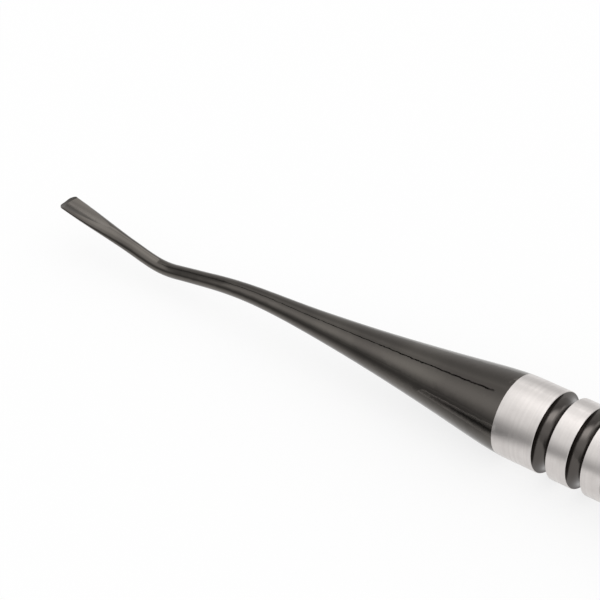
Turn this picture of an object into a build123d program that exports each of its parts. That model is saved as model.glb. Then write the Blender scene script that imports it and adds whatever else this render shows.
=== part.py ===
from build123d import *
import os
from math import cos, radians, sin

os.makedirs("parts", exist_ok=True)

# Dental elevator, in millimetres. It lies along X as it rests, with the blade towards -X,
# the hollow of the blade facing up and the elbow of the shank hanging down.

# Handle: a bar turned to 3/8 inch, with five grip grooves behind the collar
handle_radius = 4.75
handle_length = 101.7
collar_length = 5.1  # plain steel in front of the first groove
nose_radius = 4.7  # the handle's front edge, a little under its full size
nose_length = 2.0

# Grip grooves: turned half round, as deep as their radius
groove_count = 5
groove_radius = 0.93
groove_pitch = 4.37
groove_break = 0.04  # edges of the grooves, lightly broken

# Inside of the handle
tang_radius = 2.0
tang_length = 17.0
tang_gap = 0.05  # bonding gap around the tang
tang_chamfer = 0.4
socket_depth = 17.5
chamber_radius = 3.5
chamber_depth = 68.0

# Rear plug
plug_head_length = 3.0
plug_spigot_length = 7.0
plug_edge = 1.0
plug_lead_in = 0.4

# Centre line of the working end: collar to first corner, corner to corner, elbow to tip
arm_length = 37.4
dip_length = 12.15
blade_reach = 14.9
dip_angle = 11.2
lift_angle = 25.1
dip_bend_radius = 52.0
elbow_radius = 9.0

# Round sections: distance along the centre line from the collar, and radius.
# They stand closer together through the elbow, so that the surface keeps to the bend.
round_sections = [
    (0, nose_radius),
    (2, 4.52),
    (4, 4.26),
    (8, 3.69),
    (12, 3.15),
    (16, 2.65),
    (20, 2.2),
    (24, 1.81),
    (28, 1.47),
    (32, 1.22),
    (36, 1.05),
    (40, 0.94),
    (44, 0.87),
    (46.5, 0.85),
    (48, 0.84),
    (49.5, 0.83),
    (51, 0.83),
]
# Blade sections: distance back from the tip, half width and half thickness
blade_sections = [
    (11.0, 0.83, 0.83),
    (9.5, 0.86, 0.81),
    (7.75, 0.97, 0.75),
    (6.0, 1.1, 0.67),
    (4.5, 1.21, 0.6),
    (3.0, 1.29, 0.53),
    (1.5, 1.33, 0.47),
    (0.0, 1.33, 0.42),
]
corner_radius = 0.8  # the blade's two corners, seen from above

# The scoop is cut by a round tool laid along the blade, and the cutting edge by a steeper pass
# of a rounder one, which keeps the bevel as wide at the corners as in the middle
scoop_radius = 3.0
scoop_length = 6.6
scoop_tip_level = -0.14  # bottom of the scoop against the centre line, at the tip
scoop_end_level = 0.68
bevel_radius = 6.0
bevel_length = 0.5
bevel_drop = 0.16
cut_clearance = 2.0  # the tools that cut the blade reach this far past the steel

scoop_rise = (scoop_end_level - scoop_tip_level) / scoop_length

# Place in the part's frame: the origin is under the middle of the whole length
blade_angle = lift_angle - dip_angle
front_reach = (
    arm_length
    + dip_length * cos(radians(dip_angle))
    + blade_reach * cos(radians(blade_angle))
    + blade_sections[-1][2] * sin(radians(blade_angle))
)
collar_x = (front_reach - handle_length - plug_head_length) / 2
rear_x = collar_x + handle_length
axis_z = handle_radius

# Corners of the centre line in the upright plane through the handle's axis
start = (collar_x, axis_z)
dip_corner = (collar_x - arm_length, axis_z)
elbow_corner = (
    dip_corner[0] - dip_length * cos(radians(dip_angle)),
    dip_corner[1] - dip_length * sin(radians(dip_angle)),
)
tip_point = (
    elbow_corner[0] - blade_reach * cos(radians(blade_angle)),
    elbow_corner[1] + blade_reach * sin(radians(blade_angle)),
)
handle_axis = Axis((0, 0, axis_z), (1, 0, 0))
groove_centres = [collar_x + collar_length + groove_radius + i * groove_pitch for i in range(groove_count)]

with BuildLine(Plane.XZ) as centre_line:
    FilletPolyline(start, dip_corner, elbow_corner, tip_point, radius=[dip_bend_radius, elbow_radius])
spine = centre_line.wire()


def section_plane(distance):
    """Plane square to the centre line, with its X along the blade's width."""
    place = distance / spine.length
    return Plane(origin=spine.position_at(place), x_dir=(0, 1, 0), z_dir=spine.tangent_at(place))


# Planes on the blade: its own X runs back from the tip along the blade, its Z stands on the hollow's side
back_along_blade = Vector(cos(radians(blade_angle)), 0, -sin(radians(blade_angle)))
blade_up = Vector(sin(radians(blade_angle)), 0, cos(radians(blade_angle)))
tip = Vector(tip_point[0], 0, tip_point[1])
blade_plan = Plane(origin=tip, x_dir=back_along_blade, z_dir=blade_up)

# Working end: blade, shank, cone and tang ground from one steel blank and coated black
with BuildPart() as working_end:
    for distance, radius in round_sections:
        with BuildSketch(section_plane(distance)):
            Ellipse(radius, radius)
    for distance, half_width, half_thickness in blade_sections:
        with BuildSketch(section_plane(spine.length - distance)):
            Ellipse(half_width, half_thickness)
    loft()
    # the scoop, a straight gouge that runs out towards the shank, and then the bevel of the cutting edge
    for radius, level, rise in [
        (scoop_radius, scoop_tip_level, scoop_rise),
        (bevel_radius, scoop_tip_level - bevel_drop, scoop_rise + bevel_drop / bevel_length),
    ]:
        direction = back_along_blade + blade_up * rise
        begin = tip + blade_up * level - direction * cut_clearance
        with BuildSketch(Plane(origin=begin, x_dir=(0, 1, 0), z_dir=direction)):
            with Locations((0, radius)):
                Circle(radius)
        extrude(amount=scoop_length + 2 * cut_clearance, mode=Mode.SUBTRACT)
    # the end in plan: two rounded corners, ground square through the thickness
    end_width = 2 * blade_sections[-1][1]
    with BuildSketch(blade_plan):
        Rectangle(2 * corner_radius, 2 * end_width)
        with Locations((end_width, 0)):
            RectangleRounded(2 * end_width, end_width, corner_radius, mode=Mode.SUBTRACT)
    extrude(amount=cut_clearance, both=True, mode=Mode.SUBTRACT)
    # the tang, bonded in the handle's socket
    with BuildSketch(Plane(origin=(collar_x, 0, axis_z), z_dir=(1, 0, 0))):
        Circle(tang_radius)
    extrude(amount=tang_length)
    chamfer(working_end.edges().group_by(Axis.X)[-1], length=tang_chamfer)

# Handle: turned outside, with grip grooves, a front socket for the tang and a chamber behind it
with BuildPart() as handle:
    with BuildSketch(Plane.XZ) as half_section:
        with BuildLine():
            front = Line((collar_x, axis_z), (collar_x, axis_z + nose_radius))
            bar = Line((collar_x + nose_length, axis_z + handle_radius), (rear_x, axis_z + handle_radius))
            TangentArc(bar @ 0, front @ 1, tangent=(-1, 0))
            Polyline(bar @ 1, (rear_x, axis_z), front @ 0)
        make_face()
        for x in groove_centres:
            with Locations((x, axis_z + handle_radius)):
                Circle(groove_radius, mode=Mode.SUBTRACT)
        grooved_run = (groove_centres[0] - groove_pitch / 2, groove_centres[-1] + groove_pitch / 2)
        rims = half_section.vertices().group_by(Axis.Y)[-1].filter_by_position(Axis.X, *grooved_run)
        chamfer(rims, length=groove_break)
    revolve(axis=handle_axis)
    with BuildSketch(Plane(origin=(collar_x, 0, axis_z), z_dir=(1, 0, 0))):
        Circle(tang_radius + tang_gap)
    extrude(amount=socket_depth, mode=Mode.SUBTRACT)
    with BuildSketch(Plane(origin=(rear_x, 0, axis_z), z_dir=(-1, 0, 0))):
        Circle(chamber_radius)
    extrude(amount=chamber_depth, mode=Mode.SUBTRACT)

# Rear plug: turned to the handle's full size, pressed into the chamber
with BuildPart() as rear_plug:
    with BuildSketch(Plane(origin=(rear_x, 0, axis_z), z_dir=(1, 0, 0))):
        Circle(handle_radius)
    extrude(amount=plug_head_length)
    fillet(rear_plug.edges().group_by(Axis.X)[-1], radius=plug_edge)
    with BuildSketch(Plane(origin=(rear_x, 0, axis_z), z_dir=(-1, 0, 0))):
        Circle(chamber_radius)
    extrude(amount=plug_spigot_length)
    chamfer(rear_plug.edges().group_by(Axis.X)[0], length=plug_lead_in)

working_end.part.label = "working_end"
handle.part.label = "handle"
rear_plug.part.label = "rear_plug"
for piece in [working_end, handle, rear_plug]:
    export_step(piece.part, f"parts/{piece.part.label}.step")
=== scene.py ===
# Dental elevator: black-coated working end, and a satin steel handle with black grip grooves
from math import cos, radians, sin

import bpy
from mathutils import Matrix, Vector


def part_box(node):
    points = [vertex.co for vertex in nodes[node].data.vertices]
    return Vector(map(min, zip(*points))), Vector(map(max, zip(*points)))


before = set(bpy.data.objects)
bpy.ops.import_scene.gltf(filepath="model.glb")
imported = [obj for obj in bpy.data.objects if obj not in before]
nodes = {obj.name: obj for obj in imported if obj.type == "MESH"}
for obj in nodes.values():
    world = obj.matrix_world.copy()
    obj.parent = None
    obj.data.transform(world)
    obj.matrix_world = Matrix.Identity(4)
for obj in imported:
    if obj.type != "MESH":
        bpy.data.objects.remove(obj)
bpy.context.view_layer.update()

axisHeight = sum(corner.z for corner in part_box("handle")) / 2        # the handle lies on the floor
handleRadius = axisHeight
print("frame loaded:", len(nodes), "nodes, handle axis", round(axisHeight * 1000, 2), "mm up")


# Camera: a long lens that looks down over the handle towards the blade

cameraSettings = {
    "lens": 192,        # mm
    "sensor": 36,        # mm
    "nearest": 0.01,        # metres in front of it, where its view begins
    "azimuth": 38.28,        # degrees round from the front, towards the rear end
    "elevation": 37.85,
    "roll": -1.37,
    "distance": 0.35688,        # metres from the aim point
    "aim": (-0.04958, 0, 0.00698),
}


def makeCamera():
    data = bpy.data.cameras.new("camera")
    data.lens = cameraSettings["lens"]
    data.sensor_width = cameraSettings["sensor"]
    data.clip_start = cameraSettings["nearest"]
    camera = bpy.data.objects.new("camera", data)
    bpy.context.scene.collection.objects.link(camera)
    azimuth, elevation = radians(cameraSettings["azimuth"]), radians(cameraSettings["elevation"])
    back = Vector((sin(azimuth) * cos(elevation), -cos(azimuth) * cos(elevation), sin(elevation)))
    turn = back.to_track_quat("Z", "Y").to_matrix() @ Matrix.Rotation(radians(cameraSettings["roll"]), 3, "Z")
    place = Vector(cameraSettings["aim"]) + back * cameraSettings["distance"]
    camera.matrix_world = Matrix.Translation(place) @ turn.to_4x4()
    bpy.context.scene.camera = camera
    print("camera at", [round(c, 4) for c in place])


makeCamera()


# Materials

def linear(hexColour):        # sRGB hex to the linear colour that the shaders take
    parts = [int(hexColour[i:i + 2], 16) / 255 for i in (1, 3, 5)]
    return (*[p / 12.92 if p <= 0.04045 else ((p + 0.055) / 1.055) ** 2.4 for p in parts], 1.0)


def addNode(tree, kind, settings=None, links=None):        # one node, with its settings and what feeds it
    node = tree.nodes.new(kind)
    for name, value in (settings or {}).items():
        if isinstance(name, int) or name in node.inputs:
            node.inputs[name].default_value = value
        else:
            setattr(node, name, value)
    for name, source in (links or {}).items():
        tree.links.new(source, node.inputs[name])
    return node


def newMaterial(name):
    material = bpy.data.materials.new(name)
    material.use_nodes = True
    material.node_tree.nodes.clear()
    return material, material.node_tree


def dress(name, material):        # gives a CAD node its finish
    data = nodes[name].data
    data.materials.clear()
    data.materials.append(material)


def perMetre(millimetres):        # scale of a pattern, from the real size of one of its marks
    return 1000 / millimetres


# Black hard coating on hand-polished steel: a dark mirror that goes grey where it turns away, with
# faint lengthwise marks from the polishing under it
coatingSettings = {
    "colour": "#5e5a56",        # what the coating reflects head on, a warm dark grey
    "paleColour": "#68645f",        # where it is thinner
    "thinBetween": (0.45, 0.7),        # noise levels from the full coating to the thin one
    "roughness": 0.05,
    "dullRoughness": 0.12,
    "dullBetween": (0.3, 0.75),        # noise levels from bright to dull
    "cloudSize": 6.0,        # mm, of the soft thin places
    "markWidth": 0.12,        # mm, several times that of the real marks, so that they show
    "markLength": 2.5,        # mm
    "markDepth": 0.0006,        # mm
}


def makeCoatedSteel():
    material, tree = newMaterial("blackCoatedPolishedSteel")
    place = addNode(tree, "ShaderNodeTexCoord").outputs["Object"]
    clouds = addNode(tree, "ShaderNodeTexNoise", {
        "Scale": perMetre(coatingSettings["cloudSize"]), "Detail": 3.0,
    }, {"Vector": place})
    thinFrom, thinTo = coatingSettings["thinBetween"]
    thin = addNode(tree, "ShaderNodeMapRange", {"From Min": thinFrom, "From Max": thinTo},
                   {"Value": clouds.outputs[0]})
    colour = addNode(tree, "ShaderNodeMix", {
        "data_type": "RGBA", 6: linear(coatingSettings["colour"]), 7: linear(coatingSettings["paleColour"]),
    }, {0: thin.outputs[0]})
    lengthwise, across = perMetre(coatingSettings["markLength"]), perMetre(coatingSettings["markWidth"])
    stretch = addNode(tree, "ShaderNodeMapping", {"Scale": (lengthwise, across, across)}, {"Vector": place})
    marks = addNode(tree, "ShaderNodeTexNoise", {"Scale": 1.0, "Detail": 2.0}, {"Vector": stretch.outputs[0]})
    dullFrom, dullTo = coatingSettings["dullBetween"]
    dull = addNode(tree, "ShaderNodeMapRange", {
        "From Min": dullFrom, "From Max": dullTo,
        "To Min": coatingSettings["roughness"], "To Max": coatingSettings["dullRoughness"],
    }, {"Value": marks.outputs[0]})
    bump = addNode(tree, "ShaderNodeBump", {"Distance": coatingSettings["markDepth"] / 1000},
                   {"Height": marks.outputs[0]})
    shader = addNode(tree, "ShaderNodeBsdfPrincipled", {"Metallic": 1.0}, {
        "Base Color": colour.outputs[2], "Roughness": dull.outputs[0], "Normal": bump.outputs[0],
    })
    addNode(tree, "ShaderNodeOutputMaterial", links={"Surface": shader.outputs["BSDF"]})
    return material


# Stainless steel, turned and satin finished: fine lines run round it and draw its highlights out
# lengthwise. The handle's grip grooves carry the black coating too, less polished than the shank; the
# grooves' coating is painted a little darker than the working end's, which is painted shade in them
steelSettings = {
    "colour": "#d6d1ce",
    "dullColour": "#cfcac7",
    "dullBetween": (0.15, 0.35),        # noise levels from dull to bright
    "roughness": 0.33,
    "roughnessSpread": 0.05,        # the bright places are smoother by this much, and the dull ones rougher
    "anisotropy": 0.5,
    "highlightTurn": 0.25,        # a quarter turn lays the highlights along the handle, square to the lines
    "lineWidth": 0.3,        # mm, about three times that of the real turning lines, so that they show
    "lineDepth": 0.0002,        # mm
    "cloudSize": 1.6,        # mm, of the soft mottling that the satin finish leaves
    "grooveBelow": 0.06,        # mm under the handle's surface, where the coating of a groove begins
    # the real black coating, painted a little darker than on the working end: painted shade in the grooves
    "shadedGrooveColour": "#56524f",
    "grooveRoughness": 0.2,
}


def makeSatinSteel(name, grooved):
    material, tree = newMaterial(name)
    place = addNode(tree, "ShaderNodeTexCoord").outputs["Object"]
    split = addNode(tree, "ShaderNodeSeparateXYZ", links={0: place})
    height = addNode(tree, "ShaderNodeMath", {"operation": "SUBTRACT", 1: axisHeight},
                     {0: split.outputs["Z"]})
    square = addNode(tree, "ShaderNodeCombineXYZ", links={"Y": split.outputs["Y"], "Z": height.outputs[0]})
    reach = addNode(tree, "ShaderNodeVectorMath", {"operation": "LENGTH"}, {0: square.outputs[0]})
    rings = addNode(tree, "ShaderNodeCombineXYZ",        # the lines vary along the handle and outwards
                    links={"X": split.outputs["X"], "Y": reach.outputs["Value"]})
    lines = addNode(tree, "ShaderNodeTexNoise", {
        "Scale": perMetre(steelSettings["lineWidth"]), "Detail": 3.0,
    }, {"Vector": rings.outputs[0]})
    clouds = addNode(tree, "ShaderNodeTexNoise", {
        "Scale": perMetre(steelSettings["cloudSize"]), "Detail": 4.0,
    }, {"Vector": place})
    mottle = addNode(tree, "ShaderNodeMath", {"operation": "MULTIPLY"},
                     {0: lines.outputs[0], 1: clouds.outputs[0]})
    dullFrom, dullTo = steelSettings["dullBetween"]
    bright = addNode(tree, "ShaderNodeMapRange", {"From Min": dullFrom, "From Max": dullTo},
                     {"Value": mottle.outputs[0]})
    colour = addNode(tree, "ShaderNodeMix", {
        "data_type": "RGBA", 6: linear(steelSettings["dullColour"]), 7: linear(steelSettings["colour"]),
    }, {0: bright.outputs[0]})
    rough = addNode(tree, "ShaderNodeMapRange", {
        "To Min": steelSettings["roughness"] + steelSettings["roughnessSpread"],
        "To Max": steelSettings["roughness"] - steelSettings["roughnessSpread"],
    }, {"Value": bright.outputs[0]})
    bump = addNode(tree, "ShaderNodeBump", {"Distance": steelSettings["lineDepth"] / 1000},
                   {"Height": lines.outputs[0]})
    finish = {"Base Color": colour.outputs[2], "Roughness": rough.outputs[0], "Normal": bump.outputs[0]}
    if grooved:
        coated = addNode(tree, "ShaderNodeMath", {
            "operation": "LESS_THAN", 1: handleRadius - steelSettings["grooveBelow"] / 1000,
        }, {0: reach.outputs["Value"]})
        black = addNode(tree, "ShaderNodeMix", {
            "data_type": "RGBA", 7: linear(steelSettings["shadedGrooveColour"]),
        }, {0: coated.outputs[0], 6: finish["Base Color"]})
        smooth = addNode(tree, "ShaderNodeMix", {3: steelSettings["grooveRoughness"]},
                         {0: coated.outputs[0], 2: finish["Roughness"]})
        finish.update({"Base Color": black.outputs[2], "Roughness": smooth.outputs[0]})
    tangent = addNode(tree, "ShaderNodeTangent", {"direction_type": "RADIAL", "axis": "X"})
    shader = addNode(tree, "ShaderNodeBsdfPrincipled", {
        "Metallic": 1.0, "Anisotropic": steelSettings["anisotropy"],
        "Anisotropic Rotation": steelSettings["highlightTurn"],
    }, {**finish, "Tangent": tangent.outputs["Tangent"]})
    addNode(tree, "ShaderNodeOutputMaterial", links={"Surface": shader.outputs["BSDF"]})
    return material


dress("working_end", makeCoatedSteel())
dress("handle", makeSatinSteel("satinTurnedSteelWithBlackGrooves", True))
dress("rear_plug", makeSatinSteel("satinTurnedSteel", False))
print("materials assigned")


# Stage: pale floor, white surround, and the light tent and dark cards that the metal reflects

floorSettings = {
    "size": 6.0,        # metres
    "colour": "#808080",
    "roughness": 0.9,
    "lift": 0.78,        # light that the floor adds for the camera and in reflections
}
surroundSettings = {"colour": "#ffffff", "strength": 1.0}
# The sheets are bent about the handle's axis. Angles go round it in degrees, from the near horizon over
# the top, "reach" is the distance from it and "along" the run along it, both in metres
sheetSettings = {
    "step": 2,        # degrees that each strip of a sheet spans
    "aboveFloor": 0.0002,        # metres, where a sheet lies on the floor
}
tentSettings = {        # "glow" is the brightness at each angle
    "lightTent": {
        "reach": 0.7, "along": (-1.8, 1.8),
        "glow": {-2: 0.72, 18: 0.75, 28: 0.9, 38: 1.0, 47: 1.0, 57: 0.93, 66: 0.82, 74: 0.72, 86: 0.64,
                 95: 0.65, 102: 0.7, 113: 0.59, 125: 0.54, 137: 0.59, 151: 0.69, 168: 0.75, 182: 0.75},
    },
    "overheadLight": {        # the bright band on the steel, and the soft light in its grooves
        "reach": 0.55, "along": (-0.1, 0.9),
        "glow": {45: 1.0, 62: 1.4, 78: 2.6, 102: 2.6, 118: 0.9},
    },
    "bladeLight": {
        "reach": 0.55, "along": (-0.33, -0.1),
        "glow": {45: 1.0, 60: 1.2, 80: 1.5, 104: 1.5, 116: 1.3, 130: 1.6, 142: 1.5, 150: 0.8},
    },
}
brightestGlow = 4.0        # a colour ramp holds values up to 1, which stands for this glow
# "dark" is what a card takes away in its middle, "fade" the share of its width that fades out, and
# "ends" the run in metres over which its ends fade
cardSettings = {
    "cardInFront": {        # the dark band low on the cone and shank
        "angles": (-54, 28), "reach": 0.06, "along": (-0.4, -0.02),
        "dark": 0.77, "fade": 1.0, "ends": 0.008,
    },
    "cardByCollar": {        # the black end of that band
        "angles": (-29, -6), "reach": 0.05, "along": (-0.043, -0.018),
        "dark": 0.85, "fade": 1.0, "ends": 0.01,
    },
    "cardAtLeft": {        # darkens the shank before the elbow
        "angles": (0, 118), "reach": 0.1, "along": (-0.5, -0.142),
        "dark": 0.6, "fade": 0.3, "ends": 0.035,
    },
    "cardOverhead": {        # the fine black line along the cone
        "angles": (78.0, 84.4), "reach": 0.5, "along": (-1.1, -0.4),
        "dark": 1.0, "fade": 0.3, "ends": 0.01,
    },
}


def addObject(name, mesh, material):        # puts a piece of the stage into the scene
    mesh.materials.append(material)
    thing = bpy.data.objects.new(name, mesh)
    bpy.context.scene.collection.objects.link(thing)
    return thing


def addSheet(name, angles, reach, along, material):        # a bent sheet that the camera doesn't see
    steps = round((angles[1] - angles[0]) / sheetSettings["step"])
    rows = []
    for step in range(steps + 1):
        angle = radians(angles[0] + (angles[1] - angles[0]) * step / steps)
        away = reach
        if angle < 0:        # below the horizon the sheet lies on the floor
            away = min(reach, (axisHeight - sheetSettings["aboveFloor"]) / sin(-angle))
        rows.append((-cos(angle) * away, axisHeight + sin(angle) * away))
    mesh = bpy.data.meshes.new(name)
    mesh.from_pydata([(x, *row) for row in rows for x in along], [],
                     [(2 * i, 2 * i + 1, 2 * i + 3, 2 * i + 2) for i in range(steps)])
    layer = mesh.uv_layers.new(name="UVMap")        # across the sheet in Y, along it in X
    for loop, spot in zip(mesh.loops, layer.data):
        spot.uv = (loop.vertex_index % 2, loop.vertex_index // 2 / steps)
    sheet = addObject(name, mesh, material)
    sheet.visible_camera = False
    sheet.visible_diffuse = False        # the surround alone lights the floor, which stays even
    sheet.visible_shadow = False


def makeFloor():
    material, tree = newMaterial("paleFloor")
    path = addNode(tree, "ShaderNodeLightPath")
    seen = addNode(tree, "ShaderNodeMath", {"operation": "MAXIMUM"},
                   {0: path.outputs["Is Camera Ray"], 1: path.outputs["Is Glossy Ray"]})
    seenToo = addNode(tree, "ShaderNodeMath", {"operation": "MAXIMUM"},
                      {0: seen.outputs[0], 1: path.outputs["Is Transmission Ray"]})
    lift = addNode(tree, "ShaderNodeMath", {"operation": "MULTIPLY", 1: floorSettings["lift"]},
                   {0: seenToo.outputs[0]})
    shader = addNode(tree, "ShaderNodeBsdfPrincipled", {
        "Base Color": linear(floorSettings["colour"]), "Roughness": floorSettings["roughness"],
        "Emission Color": (1, 1, 1, 1), "Specular IOR Level": 0.0,
    }, {"Emission Strength": lift.outputs[0]})
    addNode(tree, "ShaderNodeOutputMaterial", links={"Surface": shader.outputs["BSDF"]})
    half = floorSettings["size"] / 2
    mesh = bpy.data.meshes.new("floor")
    corners = [(-half, -half, 0), (half, -half, 0), (half, half, 0), (-half, half, 0)]
    mesh.from_pydata(corners, [], [(0, 1, 2, 3)])
    addObject("floor", mesh, material)


def makeSurround():
    world = bpy.data.worlds.new("whiteSurround")
    bpy.context.scene.world = world
    world.use_nodes = True
    world.node_tree.nodes.clear()
    background = addNode(world.node_tree, "ShaderNodeBackground", {
        "Color": linear(surroundSettings["colour"]), "Strength": surroundSettings["strength"],
    })
    addNode(world.node_tree, "ShaderNodeOutputWorld", links={"Surface": background.outputs[0]})


def makeTent(name, tent):        # white cloth that glows by its angle about the handle
    material, tree = newMaterial(name)
    start, end = min(tent["glow"]), max(tent["glow"])
    coordinates = addNode(tree, "ShaderNodeTexCoord")
    across = addNode(tree, "ShaderNodeSeparateXYZ", links={0: coordinates.outputs["UV"]})
    ramp = addNode(tree, "ShaderNodeValToRGB", links={0: across.outputs["Y"]})
    ramp.color_ramp.interpolation = "CARDINAL"
    stops = ramp.color_ramp.elements
    for spot, (angle, glow) in enumerate(sorted(tent["glow"].items())):
        place = (angle - start) / (end - start)
        stop = stops[spot] if spot < 2 else stops.new(place)        # a new ramp has two stops
        stop.position = place
        stop.color = (*[glow / brightestGlow] * 3, 1)
    light = addNode(tree, "ShaderNodeMath", {"operation": "MULTIPLY", 1: brightestGlow},
                    {0: ramp.outputs["Color"]})
    shader = addNode(tree, "ShaderNodeEmission", links={"Strength": light.outputs[0]})
    addNode(tree, "ShaderNodeOutputMaterial", links={"Surface": shader.outputs[0]})
    addSheet(name, (start, end), tent["reach"], tent["along"], material)


def makeCard(name, card):        # dark sheet with soft edges
    material, tree = newMaterial(name)
    coordinates = addNode(tree, "ShaderNodeTexCoord")
    across = addNode(tree, "ShaderNodeSeparateXYZ", links={0: coordinates.outputs["UV"]})
    # distance from the nearer edge and from the nearer end, as shares of the sheet
    fromEdge = addNode(tree, "ShaderNodeMath", {"operation": "PINGPONG", 1: 0.5}, {0: across.outputs["Y"]})
    fromEnd = addNode(tree, "ShaderNodeMath", {"operation": "PINGPONG", 1: 0.5}, {0: across.outputs["X"]})
    full = addNode(tree, "ShaderNodeMapRange", {
        "interpolation_type": "SMOOTHSTEP", "From Max": card["ends"] / (card["along"][1] - card["along"][0]),
        "To Max": card["dark"],
    }, {"Value": fromEnd.outputs[0]})
    soft = addNode(tree, "ShaderNodeMapRange", {
        "interpolation_type": "SMOOTHSTEP", "From Max": card["fade"] / 2,
    }, {"Value": fromEdge.outputs[0], "To Max": full.outputs["Result"]})
    clear = addNode(tree, "ShaderNodeBsdfTransparent")
    black = addNode(tree, "ShaderNodeBsdfDiffuse", {"Color": linear("#000000")})
    mixed = addNode(tree, "ShaderNodeMixShader",
                    links={0: soft.outputs["Result"], 1: clear.outputs[0], 2: black.outputs[0]})
    addNode(tree, "ShaderNodeOutputMaterial", links={"Surface": mixed.outputs[0]})
    addSheet(name, card["angles"], card["reach"], card["along"], material)


makeFloor()
makeSurround()
for name, tent in tentSettings.items():
    makeTent(name, tent)
for name, card in cardSettings.items():
    makeCard(name, card)
bpy.context.scene.view_settings.view_transform = "Standard"
print("stage set")
